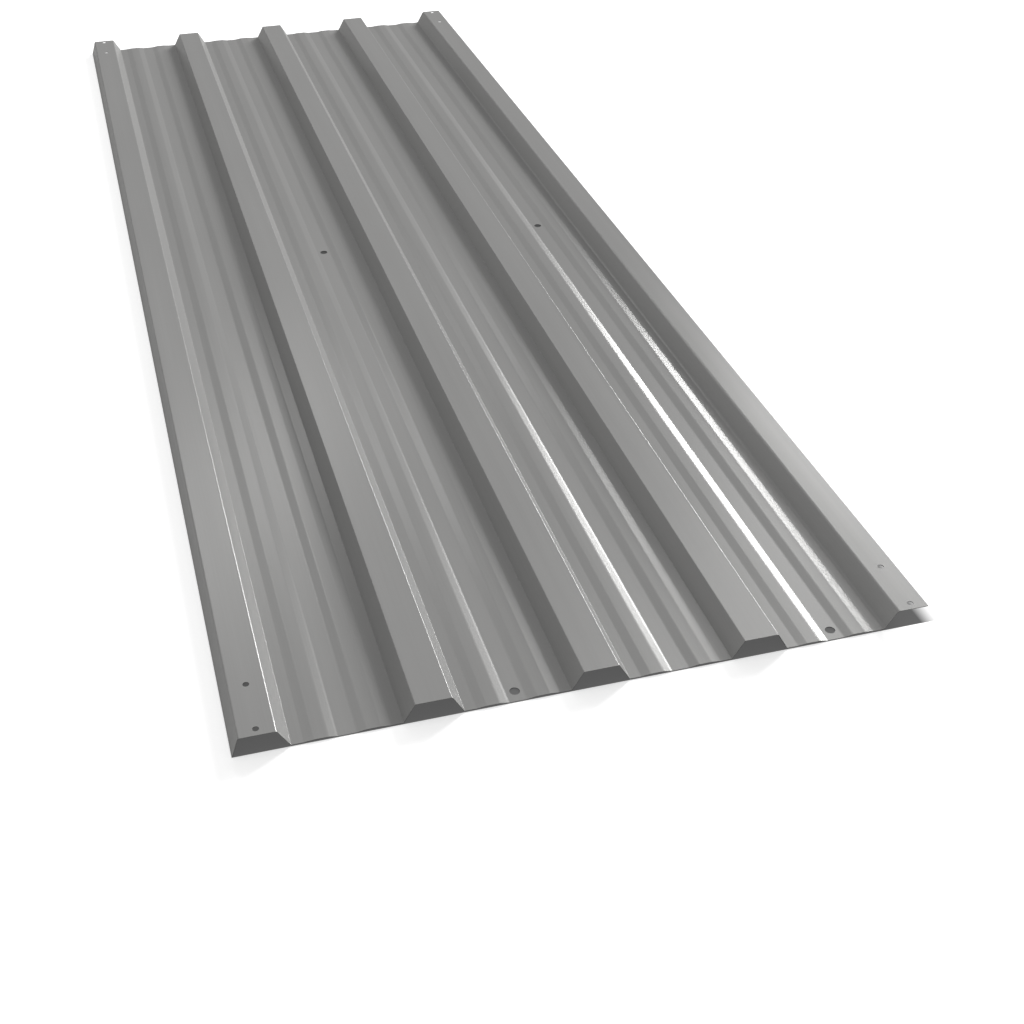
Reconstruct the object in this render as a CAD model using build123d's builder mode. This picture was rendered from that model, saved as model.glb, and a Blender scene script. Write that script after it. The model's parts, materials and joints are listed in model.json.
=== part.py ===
from build123d import *
from math import radians, sin, tan
import os

# A roll-formed roofing sheet of thin steel, lying flat with its ribs up.
# X runs across the ribs, Y along them and Z up from the floor.
# All sizes are in millimetres and all angles in degrees.

# The sheet
sheet_length = 1290.0
sheet_thickness = 0.5

# The ribs, measured on the upper face
rib_count = 5
rib_height = 13.25
rib_top_width = 23.0
rib_side_run = 7.5

# The valleys, measured on the upper face, each stiffened by low flat-topped swages
swages_per_valley = 2
swage_base_width = 21.0
swage_top_width = 8.5
swage_height = 0.8
flat_between_swages = 11.0
flat_beside_rib = 7.5

# The two long edges: a steep leg down to the floor, and a flat flange at rib height
leg_lean = 18.3
flange_width = 21.5

# Inside bend radii: the ribs, the softer lap side beside the flange, and the swages
rib_bend = 1.0
lap_bend = 2.5
swage_bend = 8.0

# Small holes in the first and last rib, in pairs at each end of the sheet
rib_hole_diameter = 4.0
rib_hole_edge = 5.5
rib_hole_spacing = 40.0

# Larger holes in every second valley, near one end and at half length
valley_hole_diameter = 6.5
valley_hole_edge = 9.0

# Levels of the upper face
valley_level = sheet_thickness
rib_level = valley_level + rib_height
swage_level = valley_level + swage_height

# The leg ends square to its own slope, with its inner corner on the floor
leg_foot_level = sheet_thickness * sin(radians(leg_lean))
leg_run = (rib_level - leg_foot_level) * tan(radians(leg_lean))

# Widths across the sheet
half_top = rib_top_width / 2
half_base = half_top + rib_side_run
swage_pitch = swage_base_width + flat_between_swages
swaged_width = (swages_per_valley - 1) * swage_pitch + swage_base_width
rib_pitch = 2 * (half_base + flat_beside_rib) + swaged_width
sheet_width = (rib_count - 1) * rib_pitch + leg_run + flange_width

# Places across the sheet, centred on the middle of its full width
left_edge = -sheet_width / 2
first_rib = left_edge + leg_run + half_top
rib_centers = [first_rib + n * rib_pitch for n in range(rib_count)]
valley_centers = [center + rib_pitch / 2 for center in rib_centers[:-1]]

# Places along the sheet
near_end = -sheet_length / 2
far_end = sheet_length / 2


def crest(inside_radius):
    """Upper-face radius of a bend that is convex from above."""
    return inside_radius + sheet_thickness


def swage(center):
    """Upper-face corners of one swage, each with its bend radius."""
    half_swage_base = swage_base_width / 2
    half_swage_top = swage_top_width / 2
    return [
        (center - half_swage_base, valley_level, swage_bend),
        (center - half_swage_top, swage_level, crest(swage_bend)),
        (center + half_swage_top, swage_level, crest(swage_bend)),
        (center + half_swage_base, valley_level, swage_bend),
    ]


def valley(center, right_bend):
    """Corners from one rib's right shoulder, across a valley, to the next rib's left one."""
    left_rib = center - rib_pitch / 2
    right_rib = center + rib_pitch / 2
    corners = [
        (left_rib + half_top, rib_level, crest(rib_bend)),
        (left_rib + half_base, valley_level, rib_bend),
    ]
    first_swage = center - (swages_per_valley - 1) * swage_pitch / 2
    for n in range(swages_per_valley):
        corners += swage(first_swage + n * swage_pitch)
    corners += [
        (right_rib - half_base, valley_level, right_bend),
        (right_rib - half_top, rib_level, crest(right_bend)),
    ]
    return corners


# The bends of the upper face from left to right, between the two long edges
bends = [(left_edge + leg_run, rib_level, crest(rib_bend))]
for center in valley_centers:
    is_last = center == valley_centers[-1]
    bends += valley(center, lap_bend if is_last else rib_bend)

leg_foot = (left_edge, leg_foot_level)
flange_edge = (left_edge + sheet_width, rib_level)
upper_face = [leg_foot] + [(x, z) for x, z, _ in bends] + [flange_edge]
bend_radii = [radius for _, _, radius in bends]

# Centres of the punched holes
rib_hole_rows = [
    near_end + rib_hole_edge,
    near_end + rib_hole_edge + rib_hole_spacing,
    far_end - rib_hole_edge - rib_hole_spacing,
    far_end - rib_hole_edge,
]
valley_hole_rows = [near_end + valley_hole_edge, 0]
rib_holes = [(x, y, rib_level) for x in (rib_centers[0], rib_centers[-1]) for y in rib_hole_rows]
valley_holes = [(x, y, valley_level) for x in valley_centers[1::2] for y in valley_hole_rows]

with BuildPart() as corrugated_sheet:
    # One constant-thickness section, rolled along the whole length
    with BuildSketch(Plane.XZ):
        with BuildLine():
            FilletPolyline(*upper_face, radius=bend_radii)
            offset(amount=sheet_thickness, side=Side.RIGHT)
        make_face()
    extrude(amount=sheet_length / 2, both=True)

    # Punched holes, straight down through the metal
    with Locations(*rib_holes):
        Hole(radius=rib_hole_diameter / 2)
    with Locations(*valley_holes):
        Hole(radius=valley_hole_diameter / 2)

corrugated_sheet.part.label = "corrugated_sheet"

os.makedirs("parts", exist_ok=True)
export_step(corrugated_sheet.part, "parts/corrugated_sheet.step")
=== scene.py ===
"""A ribbed steel roofing sheet lying on a white floor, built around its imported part."""

import json
import math

import bpy
import numpy as np
from bpy.props import FloatProperty, FloatVectorProperty, IntProperty, PointerProperty
from mathutils import Matrix, Quaternion, Vector


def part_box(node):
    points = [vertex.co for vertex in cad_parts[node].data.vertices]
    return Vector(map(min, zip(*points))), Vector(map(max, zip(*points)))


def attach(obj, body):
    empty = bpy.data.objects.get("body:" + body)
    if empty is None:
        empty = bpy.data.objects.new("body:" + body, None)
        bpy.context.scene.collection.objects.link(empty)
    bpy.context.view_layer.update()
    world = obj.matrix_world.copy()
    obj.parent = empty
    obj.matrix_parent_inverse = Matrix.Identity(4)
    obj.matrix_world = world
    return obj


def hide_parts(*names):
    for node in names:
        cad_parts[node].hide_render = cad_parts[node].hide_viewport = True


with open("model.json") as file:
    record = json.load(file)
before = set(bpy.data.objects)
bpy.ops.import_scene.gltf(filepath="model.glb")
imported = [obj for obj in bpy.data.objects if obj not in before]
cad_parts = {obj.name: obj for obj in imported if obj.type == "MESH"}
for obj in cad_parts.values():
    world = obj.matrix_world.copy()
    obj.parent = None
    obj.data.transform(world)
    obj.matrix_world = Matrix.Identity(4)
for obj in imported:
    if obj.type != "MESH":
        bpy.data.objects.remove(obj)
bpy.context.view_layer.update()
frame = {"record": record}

bl_info = {
    "name": "Ribbed Roofing Sheet",
    "version": (1, 0, 0),
    "blender": (4, 5, 0),
    "location": "3D View > Sidebar > Roofing",
    "description": "Builds a roll-formed steel roofing sheet around its packed frame, with its studio",
    "category": "Object",
}

CAD_NODE = "corrugated_sheet"
SHEET_UV = "Rolled"
SHEET_LOW, SHEET_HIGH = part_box(CAD_NODE)
MM_PER_METRE = 1000
WHITE = (1.0, 1.0, 1.0, 1.0)

# Which side of its middle each corner of a rectangle is on, counterclockwise
CORNER_SIGNS = np.array([(-1, -1), (1, -1), (1, 1), (-1, 1)])

# The mesh: how finely bends, rows and hole rims are divided and rounded, in metres, radians and counts
BEND_STEP = math.radians(10.5)
FEWEST_BEND_STEPS = 2
HOLDING_GAP = 0.00015
EDGE_GAP = 0.0003
ROW_SPACING = 0.0125
ROW_CLEARANCE = 0.002
RIM_SEGMENTS = 48
RIM_GAP = 0.00035
PATCH_MARGIN = 0.0012
RIM_ROUNDING = 0.00007
RIM_ROUNDING_STEPS = 2
RIM_ANGLE = math.radians(60)
SAME_PLACE = 0.00001

# The sheared edges' place in the sheet's list of materials
CUT_EDGE = 1

# The noises in the coating: features per metre across and along the sheet, detail and start
COATING_NOISES = {
    "fine": {"scales": (900, 5), "detail": 3.0, "start": 0.0},
    "broad": {"scales": (70, 0.8), "detail": 2.0, "start": 3.0},
    "cloud": {"scales": (14, 6), "detail": 3.0, "start": 7.0},
}

# The usual range of a noise's values
NOISE_LOW = 0.3
NOISE_HIGH = 0.7

# How far the noises change the coating's colour and roughness, as factors
FINE_TINT = (0.985, 1.015)
BROAD_TINT = (0.985, 1.015)
CLOUD_TINT = (0.99, 1.01)
BROAD_ROUGHNESS = (0.93, 1.07)
CLOUD_ROUGHNESS = (0.95, 1.05)

# The coating's relief: grain per metre, detail, the streaks' share, strength, and depth in metres
PEEL_GRAIN = 700.0
PEEL_DETAIL = 2.0
STREAK_RELIEF = 0.5
COATING_BUMP = 0.1
COATING_RELIEF = 0.000004

# The tint of the coating's metal flake at glancing angles
GLANCING_SHEEN = (0.7, 0.7, 0.7, 1.0)

# The sheared edges' marks: grain per metre, detail, strength, and depth in metres
SHEAR_GRAIN = 1500.0
SHEAR_DETAIL = 3.0
SHEAR_BUMP = 0.3
SHEAR_RELIEF = 0.00002

# The sheared edges' finish: factors on their colour, range of roughness, and share of metal
SHEAR_TINT = (0.8, 1.2)
SHEAR_ROUGHNESS = (0.45, 0.65)
SHEAR_METAL = 0.5

# The camera, from the picture's own perspective
CAMERA_PLACE = (-0.248167, -1.28996, 0.625235)
CAMERA_RIGHT = (0.963682, -0.266982, -0.006174)
CAMERA_DOWN = (-0.160298, -0.559799, -0.812976)
CAMERA_LENS = 52.61
CAMERA_SENSOR = 36.0
CAMERA_SIDE_SHIFT = 0.02966
CAMERA_NEAREST = 0.01
CAMERA_FARTHEST = 100.0

# The floor, in metres
FLOOR_REACH = 15.0
FLOOR_GAP = 0.00005

# The floor's shade under the sheet, in metres, as brightness where 1 is white, and as a share of its paint
SHADE_EDGE = 0.0005
FLANGE_SHADE_IN = 0.0025
FLANGE_SHADE_OUT = 0.0115
FAR_SHADE_IN = 0.015
FAR_SHADE_OUT = 0.003
SHADE_DEPTH_START = 0.3
SHADE_IN_MIDDLE = 0.04
SHADE_AT_ENDS = 0.1
SHADED_PAINT = 0.05

# The lamps, seen from the sheet's middle: bearing, rise and spin in degrees, and distance in metres
SOFTBOXES = {
    "key_softbox": {
        "bearing": 48.1, "rise": 21.1, "spin": 11.4, "distance": 28.0,
        "width": 0.414, "height": 0.311, "brightness": 39.6,
    },
    "upper_softbox": {
        "bearing": 58.0, "rise": 41.5, "spin": 21.2, "distance": 28.0,
        "width": 0.205, "height": 0.241, "brightness": 3.1,
    },
    "back_softbox": {
        "bearing": 89.0, "rise": 38.1, "spin": 46.9, "distance": 3.3,
        "width": 0.114, "height": 0.267, "brightness": 4.62,
    },
    "left_softbox": {
        "bearing": 182.0, "rise": 17.7, "spin": 0.0, "distance": 28.0,
        "width": 0.8, "height": 0.4, "brightness": 2.35,
    },
}


class SheetSizes(bpy.types.PropertyGroup):
    """Sizes of the rolled section, measured on its upper face."""

    thickness: FloatProperty(
        name="Thickness", description="Thickness of the steel",
        default=0.0005, unit="LENGTH", precision=5
    )
    rib_count: IntProperty(
        name="Ribs", description="Number of ribs, with the one in the flange",
        default=5
    )
    rib_height: FloatProperty(
        name="Rib Height", description="Height of a rib above a valley",
        default=0.01325, unit="LENGTH", precision=5
    )
    rib_top_width: FloatProperty(
        name="Rib Top", description="Width of a rib's flat top",
        default=0.023, unit="LENGTH", precision=5
    )
    rib_side_run: FloatProperty(
        name="Rib Side Run", description="Width that a rib's side takes up",
        default=0.0075, unit="LENGTH", precision=5
    )
    swage_base: FloatProperty(
        name="Swage Base", description="Width of a swage at its foot",
        default=0.021, unit="LENGTH", precision=5
    )
    swage_top: FloatProperty(
        name="Swage Top", description="Width of a swage's flat top",
        default=0.0085, unit="LENGTH", precision=5
    )
    swage_height: FloatProperty(
        name="Swage Height", description="Height of a swage above the middle of its valley",
        default=0.00101, unit="LENGTH", precision=5
    )
    rib_gap_lift: FloatProperty(
        name="Rib Gap Lift", description="Height of the flats beside the ribs above the middle of a valley",
        default=0.000355, unit="LENGTH", precision=6
    )
    swage_gap: FloatProperty(
        name="Swage Gap", description="Flat between a valley's two swages",
        default=0.011, unit="LENGTH", precision=5
    )
    rib_gap: FloatProperty(
        name="Rib Gap", description="Flat between a rib and a swage",
        default=0.0075, unit="LENGTH", precision=5
    )
    leg_lean: FloatProperty(
        name="Leg Lean", description="Lean of the left leg from upright",
        default=math.radians(18.3), subtype="ANGLE"
    )
    flange_width: FloatProperty(
        name="Flange", description="Width of the flat right flange",
        default=0.0215, unit="LENGTH", precision=5
    )
    leg_bend: FloatProperty(
        name="Leg Bend", description="Inside radius along the first rib's top",
        default=0.001, unit="LENGTH", precision=5
    )
    rib_bend: FloatProperty(
        name="Rib Bend", description="Inside radius along the other ribs' tops",
        default=0.0003, unit="LENGTH", precision=5
    )
    foot_bend: FloatProperty(
        name="Foot Bend", description="Inside radius along the ribs' feet",
        default=0.0003, unit="LENGTH", precision=5
    )
    lap_bend: FloatProperty(
        name="Lap Bend", description="Inside radius beside the flange",
        default=0.0025, unit="LENGTH", precision=5
    )
    swage_bend: FloatProperty(
        name="Swage Bend", description="Inside radius of the swages' bends",
        default=0.008, unit="LENGTH", precision=5
    )
    crease_width: FloatProperty(
        name="Crease Width", description="Width of the steeper strip at the first swage's right foot",
        default=0.00145, unit="LENGTH", precision=5
    )
    crease_height: FloatProperty(
        name="Crease Height", description="Height of that strip's top above the middle of the valley",
        default=0.000292, unit="LENGTH", precision=6
    )
    crease_inset: FloatProperty(
        name="Crease Inset", description="Distance of that strip's foot from the middle flat's full width",
        default=0.00035, unit="LENGTH", precision=5
    )
    crease_bend: FloatProperty(
        name="Crease Bend", description="Inside radius at that strip's foot",
        default=0.003, unit="LENGTH", precision=5
    )
    roll_wave: FloatProperty(
        name="Roll Wave", description="Depth of the rolling mill's long waves",
        default=0.000006, unit="LENGTH", precision=6
    )


class SheetFinish(bpy.types.PropertyGroup):
    """Colours and gloss of the coated steel, and the studio's light."""

    coat_colour: FloatVectorProperty(
        name="Coating", description="Grey of the satin coating", subtype="COLOR",
        default=(0.266, 0.265, 0.261), min=0, max=1
    )
    # The sheared edges' dark grey is partly their bare steel and partly painted shade
    shaded_cut_colour: FloatVectorProperty(
        name="Cut Edge", description="Dull grey of the sheared edges", subtype="COLOR",
        default=(0.1, 0.1, 0.098), min=0, max=1
    )
    sheen_share: FloatProperty(
        name="Metallic Share", description="Share of metal flake in the coating", subtype="FACTOR",
        default=0.16, min=0, max=1
    )
    roughness: FloatProperty(
        name="Roughness", description="Mean roughness of the coating", subtype="FACTOR",
        default=0.234, min=0, max=1
    )
    world_light: FloatProperty(
        name="Room Light", description="Strength of the even light from all round",
        default=0.355, min=0
    )
    floor_colour: FloatVectorProperty(
        name="Floor", description="Colour of the studio floor", subtype="COLOR",
        default=(0.88, 0.88, 0.88), min=0, max=1
    )
    floor_lift: FloatProperty(
        name="Floor Lift", description="White that the floor shows to the camera and to gloss",
        default=0.55, min=0
    )


def joined(*parts):
    """The given arrays, one after the other, as one array."""
    return np.concatenate([np.atleast_1d(part) for part in parts])


def section_corners(sizes):
    """Corners of the upper face from the leg's foot to the flange's edge, as rows of x, z and bend radius.

    A valley has thirteen corners at fixed places about its middle, and the valleys repeat them one rib
    pitch apart. A bend that is convex from above has the inside radius plus the thickness, any other the
    inside radius alone. The first rib's top and the fold beside the flange have radii of their own.
    """
    thick = sizes.thickness
    valley = thick
    beside = valley + sizes.rib_gap_lift
    top = valley + sizes.rib_height
    swage = valley + sizes.swage_height
    half_top = sizes.rib_top_width / 2
    half_base = half_top + sizes.rib_side_run
    swage_pitch = sizes.swage_base + sizes.swage_gap
    half_pitch = half_base + sizes.rib_gap + (swage_pitch + sizes.swage_base) / 2
    pitch = 2 * half_pitch
    leg_level = thick * math.sin(sizes.leg_lean)
    leg_run = (top - leg_level) * math.tan(sizes.leg_lean)
    width = (sizes.rib_count - 1) * pitch + leg_run + sizes.flange_width
    left = -width / 2
    swage_middles = np.array([-swage_pitch / 2, swage_pitch / 2])
    half_swage = np.array([-sizes.swage_base, -sizes.swage_top, sizes.swage_top, sizes.swage_base]) / 2
    first_swage, second_swage = np.add.outer(swage_middles, half_swage)
    crease_foot = first_swage[-1] - sizes.crease_inset
    places = joined(half_top - half_pitch, half_base - half_pitch, first_swage[:-1],
                    crease_foot - sizes.crease_width, crease_foot, second_swage,
                    half_pitch - half_base, half_pitch - half_top)
    levels = joined(top, beside, beside, swage, swage, valley + sizes.crease_height, valley,
                    valley, swage, swage, beside, beside, top)
    leg = sizes.leg_bend + thick
    rib = sizes.rib_bend + thick
    foot = sizes.foot_bend
    soft = sizes.swage_bend
    crown = soft + thick
    radii = joined(rib, foot, soft, crown, crown, crown, sizes.crease_bend,
                   soft, crown, crown, soft, foot, rib)
    valleys = sizes.rib_count - 1
    middles = left + leg_run + half_top + half_pitch + pitch * np.arange(valleys)
    x = np.add.outer(middles, places)
    z = np.tile(levels, (valleys, 1))
    bends = np.tile(radii, (valleys, 1))
    bends[0, 0] = leg
    bends[-1, -2:] = sizes.lap_bend, sizes.lap_bend + thick
    return np.column_stack([
        joined(left, left + leg_run, x.ravel(), -left),
        joined(leg_level, top, z.ravel(), top),
        joined(0, leg, bends.ravel(), 0),
    ])


def rolled_section(corners):
    """Developed width, x, z and heading of the points of the upper face, and the ends of its bends.

    A corner's tangent points lie r tan(turn / 2) from it, on the flats that meet there. The bend's centre
    lies r to the left of the first tangent point for a left turn, or r to the right for a right one. The
    point at share f of the bend is that tangent point, turned about the centre by f times the turn. The
    developed width is the length along these points, and the heading is the angle of travel. A bend's
    first and last points are numbered from the leg's foot, which is point 0.
    """
    points = corners[:, :2]
    flats = np.diff(points, axis=0)
    flats /= np.linalg.norm(flats, axis=1)[:, None]
    ahead, after = flats[:-1], flats[1:]
    turn = np.arctan2(ahead[:, 0] * after[:, 1] - ahead[:, 1] * after[:, 0], (ahead * after).sum(1))
    radius = corners[1:-1, 2]
    steps = np.maximum(FEWEST_BEND_STEPS, np.ceil(np.abs(turn) / BEND_STEP)).astype(int)
    tangent = points[1:-1] - ahead * (radius * np.tan(np.abs(turn) / 2))[:, None]
    left_of = np.column_stack([-ahead[:, 1], ahead[:, 0]]) * (np.sign(turn) * radius)[:, None]
    centre = tangent + left_of
    bend = np.repeat(np.arange(len(turn)), steps + 1)
    last = np.cumsum(steps + 1)
    first = last - steps
    angle = (np.arange(1, len(bend) + 1) - first[bend]) / steps[bend] * turn[bend]
    spoke = -left_of[bend]
    arc_x = centre[bend, 0] + spoke[:, 0] * np.cos(angle) - spoke[:, 1] * np.sin(angle)
    arc_z = centre[bend, 1] + spoke[:, 0] * np.sin(angle) + spoke[:, 1] * np.cos(angle)
    heading = np.arctan2(ahead[bend, 1], ahead[bend, 0]) + angle
    x = joined(points[0, 0], arc_x, points[-1, 0])
    z = joined(points[0, 1], arc_z, points[-1, 1])
    heading = joined(heading[0], heading, heading[-1])
    developed = joined(0, np.cumsum(np.hypot(np.diff(x), np.diff(z))))
    return developed, x, z, heading, developed[first], developed[last]


def punched_holes():
    """Centre x, centre y and radius of each punched hole: a bolt pattern is a rectangle of four."""
    rows = []
    for mount in frame["record"]["mounts"]:
        if mount["kind"] != "bolt_pattern":
            continue
        dims = mount["dims"]
        spacing = np.array([dims["spacing_x_mm"], dims["spacing_y_mm"]]) / MM_PER_METRE
        places = np.array(mount["pos_m"][:2]) + CORNER_SIGNS * spacing / 2
        radius = np.full((len(places), 1), dims["hole_r_mm"] / MM_PER_METRE)
        rows.append(np.hstack([places, radius]))
    return np.vstack(rows)


def roll_waves(across, along, depth):
    """Height of the long, shallow waves that a rolling mill leaves: a sum of products of two sines.

    One sine runs along the sheet and the other across its developed width, each with its own length and
    start, and each product has its own share of the depth.
    """
    lengths_along = np.array([0.43, 0.27, 0.171, 0.119])
    lengths_across = np.array([0.31, 0.19, 0.127, 0.083])
    starts_along = np.array([0.7, 2.9, 5.1, 1.3])
    starts_across = np.array([1.9, 4.4, 0.3, 3.2])
    shares = np.array([1.0, 0.6, 0.35, 0.2])
    turns_along = 2 * np.pi * along[..., None] / lengths_along + starts_along
    turns_across = 2 * np.pi * across[..., None] / lengths_across + starts_across
    return depth * (shares * np.sin(turns_along) * np.sin(turns_across)).sum(-1)


def sheet_points(section, across, along, below, wave):
    """Points at a developed width, a length along the sheet and a depth below the upper face.

    The point is the section's own point at that developed width, moved along the section's normal by the
    roll wave less the depth.
    """
    developed, x, z, heading = section[:4]
    angle = np.interp(across, developed, heading)
    lift = roll_waves(across, along, wave) - below
    return np.column_stack([
        np.interp(across, developed, x) - np.sin(angle) * lift,
        along,
        np.interp(across, developed, z) + np.cos(angle) * lift,
    ])


def grid_columns(section, holes):
    """Developed widths of the grid's columns.

    They are the bends' points, a holding column beside each bend and each long edge, and three columns
    for each line of holes: its middle, and both sides of the rectangle round each hole.
    """
    developed, x, _, _, starts, ends = section
    middles = holes[:, 0]
    reach = holes[:, 2] + PATCH_MARGIN
    beside = np.interp(joined(middles - reach, middles, middles + reach), x, developed)
    edges = joined(EDGE_GAP, developed[-1] - EDGE_GAP)
    columns = joined(developed, starts - HOLDING_GAP, ends + HOLDING_GAP, edges, beside)
    return merged(columns)


def merged(values):
    """The values in order, without those within a hundredth of a millimetre of the one before."""
    ordered = np.sort(values)
    return ordered[joined(True, np.diff(ordered) > SAME_PLACE)]


def grid_rows(holes):
    """Lengths of the grid's rows along the sheet.

    They are evenly spaced rows, a holding row beside each end, and three rows for each row of holes.
    An even row that comes too near to one of the others is left out.
    """
    near, far = SHEET_LOW.y, SHEET_HIGH.y
    middles = holes[:, 1]
    reach = holes[:, 2] + PATCH_MARGIN
    special = merged(joined(near, near + EDGE_GAP, far - EDGE_GAP, far,
                            middles - reach, middles, middles + reach))
    even = np.linspace(near, far, int((far - near) / ROW_SPACING) + 1)
    nearest = np.abs(even[:, None] - special).min(1)
    return np.sort(joined(special, even[nearest > ROW_CLEARANCE]))


def edge_middles(angles):
    """Angles of the middles of a closed ring's edges, each of which ends at one of the ring's vertices."""
    ends = np.sort(angles)
    starts = joined(ends[-1] - 2 * np.pi, ends[:-1])
    return (starts + ends) / 2


def zipped_rings(outer, outer_angle, inner, inner_angle):
    """Triangles between two closed rings round one centre, each given with its vertices' angles.

    The edges of both rings are taken in order of the angle of their middles. Each one makes a triangle
    with the vertex where the other ring's last edge ended.
    """
    outer = outer[np.argsort(outer_angle)]
    inner = inner[np.argsort(inner_angle)]
    angles = joined(edge_middles(outer_angle), edge_middles(inner_angle))
    on_outer = joined(np.ones(len(outer), bool), np.zeros(len(inner), bool))
    order = np.argsort(angles, kind="stable")
    on_outer = on_outer[order]
    last_outer = np.cumsum(on_outer) - 1
    last_inner = np.cumsum(~on_outer) - 1
    closes_outer = np.column_stack([outer[last_outer - 1], outer[last_outer], inner[last_inner]])
    closes_inner = np.column_stack([inner[last_inner], inner[last_inner - 1], outer[last_outer]])
    return np.where(on_outer[:, None], closes_outer, closes_inner)


def turn_of(points, centre):
    """Angles of the points about the centre, from 0 to a full turn."""
    return np.mod(np.arctan2(points[:, 1] - centre[1], points[:, 0] - centre[0]), 2 * np.pi)


def ring_quads(outer, inner):
    """Quads between two closed rings with as many vertices each, both given in the same direction."""
    return np.column_stack([outer, np.roll(outer, -1), np.roll(inner, -1), inner])


def sheet_layout(section, holes):
    """The upper face as developed places, faces and rims.

    Its columns and rows make one grid of quads. Round each hole, the quads of a small rectangle give way
    to a rim, a ring just outside it and triangles from there to the rectangle. Returns each vertex's
    developed width, its place along the sheet, the quads, the triangles, and the closed loops of the
    edges, each with the metal on its left.
    """
    columns = grid_columns(section, holes)
    rows = grid_rows(holes)
    grid = np.arange(len(rows) * len(columns)).reshape(len(rows), len(columns))
    across, along = (part.ravel() for part in np.meshgrid(columns, rows))
    kept = np.ones((len(rows) - 1, len(columns) - 1), bool)
    triangles = []
    rim_quads = []
    loops = [joined(grid[0, :-1], grid[:-1, -1], grid[-1, :0:-1], grid[:0:-1, 0])]
    round_turn = np.arange(RIM_SEGMENTS) * 2 * np.pi / RIM_SEGMENTS
    developed, x = section[:2]
    for hole_x, hole_y, radius in holes:
        centre = np.array([np.interp(hole_x, x, developed), hole_y])
        sides = np.array([-1, 1]) * (radius + PATCH_MARGIN)
        left, right = (np.abs(columns - side).argmin() for side in centre[0] + sides)
        near, far = (np.abs(rows - side).argmin() for side in centre[1] + sides)
        kept[near:far, left:right] = False
        around = joined(grid[near, left:right], grid[near:far, right],
                        grid[far, right:left:-1], grid[far:near:-1, left])
        first = len(across)
        for ring_radius in (radius + RIM_GAP, radius):
            across = joined(across, centre[0] + ring_radius * np.cos(round_turn))
            along = joined(along, centre[1] + ring_radius * np.sin(round_turn))
        ring = first + np.arange(RIM_SEGMENTS)
        rim = ring + RIM_SEGMENTS
        places = np.column_stack([across, along])
        triangles.append(zipped_rings(around, turn_of(places[around], centre), ring, round_turn))
        rim_quads.append(ring_quads(ring, rim))
        loops.append(rim[::-1])
    corners = (grid[:-1, :-1], grid[:-1, 1:], grid[1:, 1:], grid[1:, :-1])
    cells = np.column_stack([corner[kept] for corner in corners])
    used = np.unique(joined(cells.ravel(), *(part.ravel() for part in triangles + rim_quads)))
    renumbered = np.zeros(len(across), int)
    renumbered[used] = np.arange(len(used))
    quads = renumbered[np.vstack([cells] + rim_quads)]
    triangles = renumbered[np.vstack(triangles)]
    return across[used], along[used], quads, triangles, [renumbered[loop] for loop in loops]


def shell_mesh(name, section, layout, sizes):
    """A closed mesh of the sheet.

    It is the upper face, the lower face one thickness below it, and a sheared wall along each loop.
    """
    across, along, quads, triangles, loops = layout
    count = len(across)
    points = np.vstack([
        sheet_points(section, across, along, 0.0, sizes.roll_wave),
        sheet_points(section, across, along, sizes.thickness, sizes.roll_wave),
    ])
    walls = np.vstack([ring_quads(loop + count, loop) for loop in loops])
    faces = quads.tolist() + triangles.tolist()
    faces += (quads[:, ::-1] + count).tolist() + (triangles[:, ::-1] + count).tolist()
    skin = len(faces)
    faces += walls.tolist()
    mesh = bpy.data.meshes.new(name)
    mesh.from_pydata(points, [], faces)
    cut = np.zeros(len(faces), np.int32)
    cut[skin:] = CUT_EDGE
    mesh.polygons.foreach_set("material_index", cut)
    mesh.polygons.foreach_set("use_smooth", np.ones(len(faces), bool))
    corner_vertex = np.zeros(len(mesh.loops), np.int32)
    mesh.loops.foreach_get("vertex_index", corner_vertex)
    places = np.column_stack([across, along])[corner_vertex % count]
    mesh.uv_layers.new(name=SHEET_UV).uv.foreach_set("vector", places.astype(np.float32).ravel())
    mesh.update()
    return mesh


def add_node(tree, kind, settings=None, **inputs):
    """A new node of that kind, with its settings and inputs.

    An input is named by its own name with underscores for spaces, or by an underscore and its number. It
    gets a link if it is given an output socket, or else the value.
    """
    made = tree.nodes.new(kind)
    for name, value in (settings or {}).items():
        setattr(made, name, value)
    for name, value in inputs.items():
        socket = made.inputs[int(name[1:])] if name[1:].isdigit() else made.inputs[name.replace("_", " ")]
        if isinstance(value, bpy.types.NodeSocket):
            tree.links.new(value, socket)
        else:
            socket.default_value = value
    return made


def new_material(name):
    """An empty node material, its tree and its output."""
    material = bpy.data.materials.new(name)
    material.use_nodes = True
    tree = material.node_tree
    tree.nodes.clear()
    return material, tree, tree.nodes.new("ShaderNodeOutputMaterial")


def stretched_noise(tree, scales, detail, start):
    """Noise over the developed sheet, with its own number of features per metre across and along it."""
    place = add_node(tree, "ShaderNodeUVMap", {"uv_map": SHEET_UV})
    mapped = add_node(tree, "ShaderNodeMapping", Vector=place.outputs["UV"],
                      Location=(start, start, 0), Scale=(*scales, 1))
    return add_node(tree, "ShaderNodeTexNoise", Vector=mapped.outputs["Vector"], Scale=1.0,
                    Detail=detail).outputs["Fac"]


def spread(tree, value, low, high):
    """The noise's usual range, spread from low to high."""
    return add_node(tree, "ShaderNodeMapRange", Value=value, From_Min=NOISE_LOW, From_Max=NOISE_HIGH,
                    To_Min=low, To_Max=high).outputs["Result"]


def product(tree, a, b):
    """Two numbers multiplied."""
    return add_node(tree, "ShaderNodeMath", {"operation": "MULTIPLY"}, _0=a, _1=b).outputs["Value"]


def largest(tree, first, *others):
    """The largest of several numbers."""
    for other in others:
        larger = add_node(tree, "ShaderNodeMath", {"operation": "MAXIMUM"}, _0=first, _1=other)
        first = larger.outputs["Value"]
    return first


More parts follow.
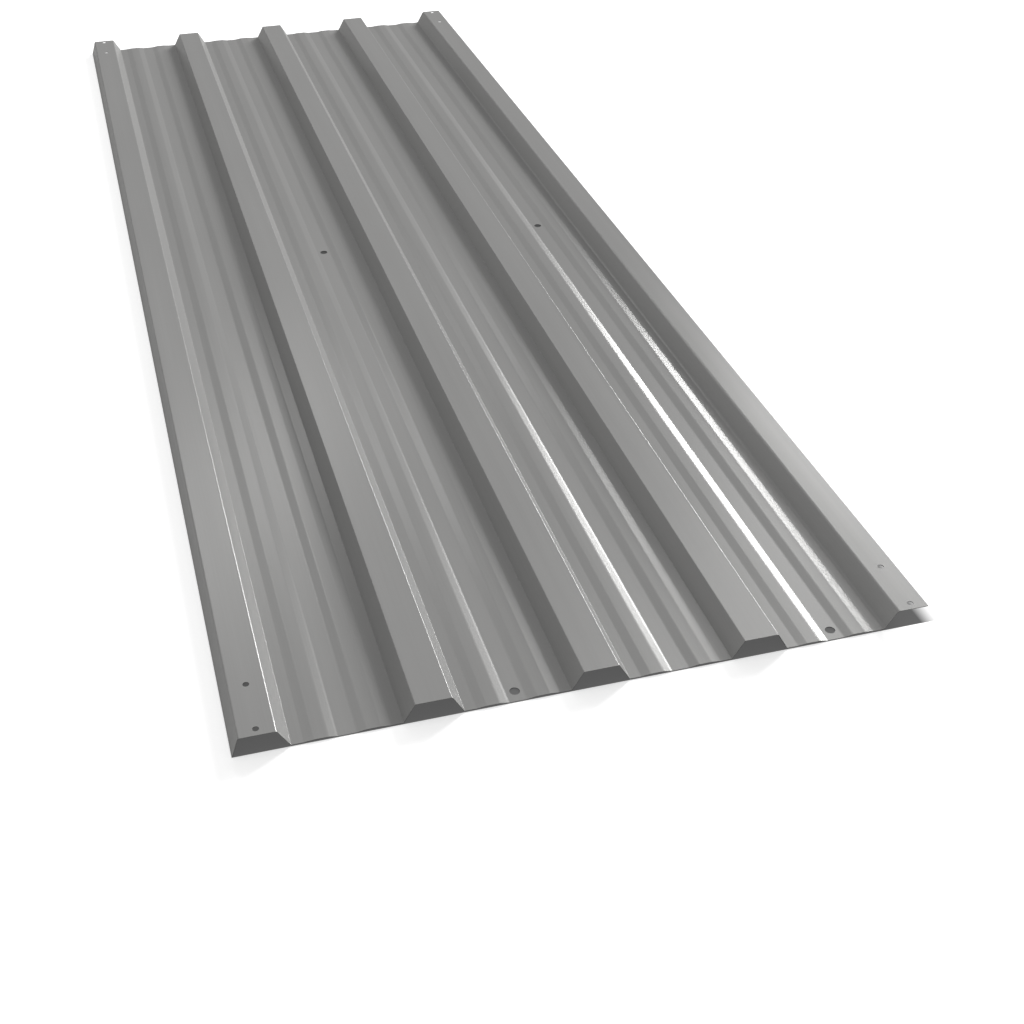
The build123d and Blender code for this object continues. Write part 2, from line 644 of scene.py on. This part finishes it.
def scaled_colour(tree, colour, factor):
    """A colour made lighter or darker by a factor that varies over the surface."""
    scaled = add_node(tree, "ShaderNodeVectorMath", {"operation": "SCALE"}, _0=colour, Scale=factor)
    return scaled.outputs["Vector"]


def coated_steel(finish):
    """Satin grey coating with metal flake in it.

    Its colour and roughness are the finish's own, times factors that follow faint streaks from the
    rollers and broader clouds. Its relief is the streaks' share plus a fine peel.
    """
    material, tree, output = new_material("coated_steel")
    fine, broad, cloud = (stretched_noise(tree, **noise) for noise in COATING_NOISES.values())
    place = add_node(tree, "ShaderNodeTexCoord").outputs["Object"]
    peel = add_node(tree, "ShaderNodeTexNoise", Vector=place, Scale=PEEL_GRAIN, Detail=PEEL_DETAIL)
    tint = product(tree, spread(tree, fine, *FINE_TINT), spread(tree, broad, *BROAD_TINT))
    tint = product(tree, tint, spread(tree, cloud, *CLOUD_TINT))
    rough = product(tree, spread(tree, broad, *BROAD_ROUGHNESS), spread(tree, cloud, *CLOUD_ROUGHNESS))
    rough = product(tree, rough, finish.roughness)
    streaks = product(tree, spread(tree, fine, 0.0, 1.0), STREAK_RELIEF)
    height = add_node(tree, "ShaderNodeMath", {"operation": "ADD"}, _0=streaks, _1=peel.outputs["Fac"])
    bump = add_node(tree, "ShaderNodeBump", Strength=COATING_BUMP, Distance=COATING_RELIEF,
                    Height=height.outputs["Value"])
    shader = add_node(
        tree, "ShaderNodeBsdfPrincipled",
        Base_Color=scaled_colour(tree, finish.coat_colour, tint),
        Metallic=finish.sheen_share,
        Roughness=rough,
        Normal=bump.outputs["Normal"],
        Specular_Tint=GLANCING_SHEEN,
        Specular_IOR_Level=0.0,
    )
    tree.links.new(shader.outputs["BSDF"], output.inputs["Surface"])
    return material


def shaded_cut_steel(finish):
    """Sheared edge: bare dull steel, darker than the coating partly as painted shade on the edges, with
    noise for the marks of the shear.
    """
    material, tree, output = new_material("shaded_cut_steel")
    place = add_node(tree, "ShaderNodeTexCoord").outputs["Object"]
    noise = add_node(tree, "ShaderNodeTexNoise", Vector=place, Scale=SHEAR_GRAIN, Detail=SHEAR_DETAIL)
    marks = noise.outputs["Fac"]
    bump = add_node(tree, "ShaderNodeBump", Strength=SHEAR_BUMP, Distance=SHEAR_RELIEF, Height=marks)
    shader = add_node(
        tree, "ShaderNodeBsdfPrincipled",
        Base_Color=scaled_colour(tree, finish.shaded_cut_colour, spread(tree, marks, *SHEAR_TINT)),
        Metallic=SHEAR_METAL,
        Roughness=spread(tree, marks, *SHEAR_ROUGHNESS),
        Normal=bump.outputs["Normal"],
    )
    tree.links.new(shader.outputs["BSDF"], output.inputs["Surface"])
    return material


class ROOFING_OT_rolled_sheet(bpy.types.Operator):
    """Build the rolled steel sheet in place of its plain frame node"""

    bl_idname = "roofing.rolled_sheet"
    bl_label = "Rolled Sheet"

    def execute(self, context):
        sizes = context.scene.roofing_sizes
        finish = context.scene.roofing_finish
        section = rolled_section(section_corners(sizes))
        layout = sheet_layout(section, punched_holes())
        mesh = shell_mesh("rolled_sheet", section, layout, sizes)
        sheet = bpy.data.objects.new("rolled_sheet", mesh)
        context.scene.collection.objects.link(sheet)
        mesh.materials.append(coated_steel(finish))
        mesh.materials.append(shaded_cut_steel(finish))
        rims = sheet.modifiers.new("Sheared rims", "BEVEL")
        rims.width = RIM_ROUNDING
        rims.segments = RIM_ROUNDING_STEPS
        rims.limit_method = "ANGLE"
        rims.angle_limit = RIM_ANGLE
        rims.use_clamp_overlap = False
        rims.harden_normals = True
        rims.material = CUT_EDGE
        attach(sheet, "root")
        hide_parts(CAD_NODE)
        return {"FINISHED"}


def white_for_gloss(tree):
    """1 for a ray from the camera, or one that a glossy or a clear surface sends on, or else 0."""
    ray = add_node(tree, "ShaderNodeLightPath").outputs
    return largest(tree, ray["Is Camera Ray"], ray["Is Glossy Ray"], ray["Is Transmission Ray"])


def studio_world(scene, finish):
    """White to the camera and to gloss, and an even soft light for everything else."""
    world = bpy.data.worlds.new("Studio")
    world.use_nodes = True
    tree = world.node_tree
    tree.nodes.clear()
    white = add_node(tree, "ShaderNodeBackground", Color=WHITE, Strength=1.0)
    light = add_node(tree, "ShaderNodeBackground", Color=WHITE, Strength=finish.world_light)
    mixed = add_node(tree, "ShaderNodeMixShader", _0=white_for_gloss(tree),
                     _1=light.outputs["Background"], _2=white.outputs["Background"])
    output = tree.nodes.new("ShaderNodeOutputWorld")
    tree.links.new(mixed.outputs["Shader"], output.inputs["Surface"])
    scene.world = world


def in_range(tree, value, low, high, at_low=0.0, at_high=1.0):
    """A number that runs from at_low to at_high as the value goes from low to high, and no further."""
    return add_node(tree, "ShaderNodeMapRange", Value=value, From_Min=low, From_Max=high,
                    To_Min=at_low, To_Max=at_high).outputs["Result"]


def outside_sheet(tree, axes):
    """1 on the open floor and 0 under the sheet, where the floor is painted in shade, with a soft change
    under the flange and the far end.
    """
    return largest(
        tree,
        in_range(tree, axes["X"], SHEET_LOW.x, SHEET_LOW.x - SHADE_EDGE),
        in_range(tree, axes["Y"], SHEET_LOW.y, SHEET_LOW.y - SHADE_EDGE),
        in_range(tree, axes["X"], SHEET_HIGH.x - FLANGE_SHADE_IN, SHEET_HIGH.x + FLANGE_SHADE_OUT),
        in_range(tree, axes["Y"], SHEET_HIGH.y - FAR_SHADE_IN, SHEET_HIGH.y + FAR_SHADE_OUT),
    )


def studio_floor(scene, finish):
    """A wide pale floor just under the sheet, lifted to white for the camera, so only shadows show on it.

    Under the sheet it is painted in shade: its paint falls to a small share, and its lift to a low
    brightness that grows towards the sheet's two ends.
    """
    corners = np.column_stack([CORNER_SIGNS * FLOOR_REACH, np.full(len(CORNER_SIGNS), -FLOOR_GAP)])
    mesh = bpy.data.meshes.new("studio_floor")
    mesh.from_pydata(corners, [], [(0, 1, 2, 3)])
    floor = bpy.data.objects.new("studio_floor", mesh)
    scene.collection.objects.link(floor)
    material, tree, output = new_material("studio_floor")
    place = add_node(tree, "ShaderNodeTexCoord").outputs["Object"]
    axes = add_node(tree, "ShaderNodeSeparateXYZ", Vector=place).outputs
    open_floor = outside_sheet(tree, axes)
    depth = add_node(tree, "ShaderNodeMath", {"operation": "ABSOLUTE"}, _0=axes["Y"]).outputs["Value"]
    shade = in_range(tree, depth, SHADE_DEPTH_START, SHEET_HIGH.y, SHADE_IN_MIDDLE, SHADE_AT_ENDS)
    paint_share = in_range(tree, open_floor, 0.0, 1.0, SHADED_PAINT, 1.0)
    paint = add_node(tree, "ShaderNodeBsdfDiffuse",
                     Color=scaled_colour(tree, finish.floor_colour, paint_share))
    white = in_range(tree, open_floor, 0.0, 1.0, shade, finish.floor_lift)
    lift = add_node(tree, "ShaderNodeEmission", Color=WHITE,
                    Strength=product(tree, white_for_gloss(tree), white))
    both = add_node(tree, "ShaderNodeAddShader", _0=paint.outputs["BSDF"], _1=lift.outputs["Emission"])
    tree.links.new(both.outputs["Shader"], output.inputs["Surface"])
    mesh.materials.append(material)


def softbox(scene, name, box):
    """A soft rectangular lamp that faces the sheet's middle from its bearing, rise and distance.

    Its width and height are given per metre of distance. Its power is pi times its area times its
    brightness, where 1 is white.
    """
    bearing = math.radians(box["bearing"])
    rise = math.radians(box["rise"])
    level = math.cos(rise)
    outwards = Vector((level * math.cos(bearing), level * math.sin(bearing), math.sin(rise)))
    data = bpy.data.lights.new(name, "AREA")
    data.shape = "RECTANGLE"
    data.size = box["width"] * box["distance"]
    data.size_y = box["height"] * box["distance"]
    data.energy = math.pi * data.size * data.size_y * box["brightness"]
    lamp = bpy.data.objects.new(name, data)
    lamp.location = outwards * box["distance"]
    lamp.rotation_mode = "QUATERNION"
    spin = Quaternion((0, 0, 1), -math.radians(box["spin"]))
    lamp.rotation_quaternion = (-outwards).to_track_quat("-Z", "Y") @ spin
    scene.collection.objects.link(lamp)


def studio_camera(scene):
    """The camera, with its axes as the columns of its matrix: right, up and backwards."""
    data = bpy.data.cameras.new("Camera")
    data.lens = CAMERA_LENS
    data.sensor_width = CAMERA_SENSOR
    data.sensor_fit = "HORIZONTAL"
    data.shift_x = CAMERA_SIDE_SHIFT
    data.clip_start = CAMERA_NEAREST
    data.clip_end = CAMERA_FARTHEST
    camera = bpy.data.objects.new("Camera", data)
    scene.collection.objects.link(camera)
    right = Vector(CAMERA_RIGHT)
    up = -Vector(CAMERA_DOWN)
    turn = Matrix((right, up, right.cross(up))).transposed()
    camera.matrix_world = Matrix.Translation(CAMERA_PLACE) @ turn.to_4x4()
    scene.camera = camera


class ROOFING_OT_studio(bpy.types.Operator):
    """Make the floor, the lamps, the white surroundings and the camera"""

    bl_idname = "roofing.studio"
    bl_label = "Studio"

    def execute(self, context):
        scene = context.scene
        finish = scene.roofing_finish
        studio_world(scene, finish)
        studio_floor(scene, finish)
        for name, box in SOFTBOXES.items():
            softbox(scene, name, box)
        studio_camera(scene)
        scene.view_settings.view_transform = "Standard"
        return {"FINISHED"}


class ROOFING_PT_panel(bpy.types.Panel):
    """Lists the sheet's and the studio's operators, with the sizes and colours that they read"""

    bl_idname = "ROOFING_PT_panel"
    bl_label = "Ribbed Roofing Sheet"
    bl_space_type = "VIEW_3D"
    bl_region_type = "UI"
    bl_category = "Roofing"

    def draw(self, context):
        layout = self.layout
        for group in (context.scene.roofing_sizes, context.scene.roofing_finish):
            column = layout.column(align=True)
            for name in group.__annotations__:
                column.prop(group, name)
        for operator in (ROOFING_OT_rolled_sheet, ROOFING_OT_studio):
            layout.operator(operator.bl_idname)


CLASSES = (SheetSizes, SheetFinish, ROOFING_OT_rolled_sheet, ROOFING_OT_studio, ROOFING_PT_panel)


def register():
    """Registers the classes and gives each scene its sizes and finish."""
    for cls in CLASSES:
        bpy.utils.register_class(cls)
    bpy.types.Scene.roofing_sizes = PointerProperty(type=SheetSizes)
    bpy.types.Scene.roofing_finish = PointerProperty(type=SheetFinish)


def unregister():
    """Takes the properties and classes away again."""
    del bpy.types.Scene.roofing_finish
    del bpy.types.Scene.roofing_sizes
    for cls in reversed(CLASSES):
        bpy.utils.unregister_class(cls)


def main():
    """Builds the sheet and its studio."""
    register()
    bpy.ops.roofing.rolled_sheet()
    bpy.ops.roofing.studio()


if __name__ == "__main__":
    main()
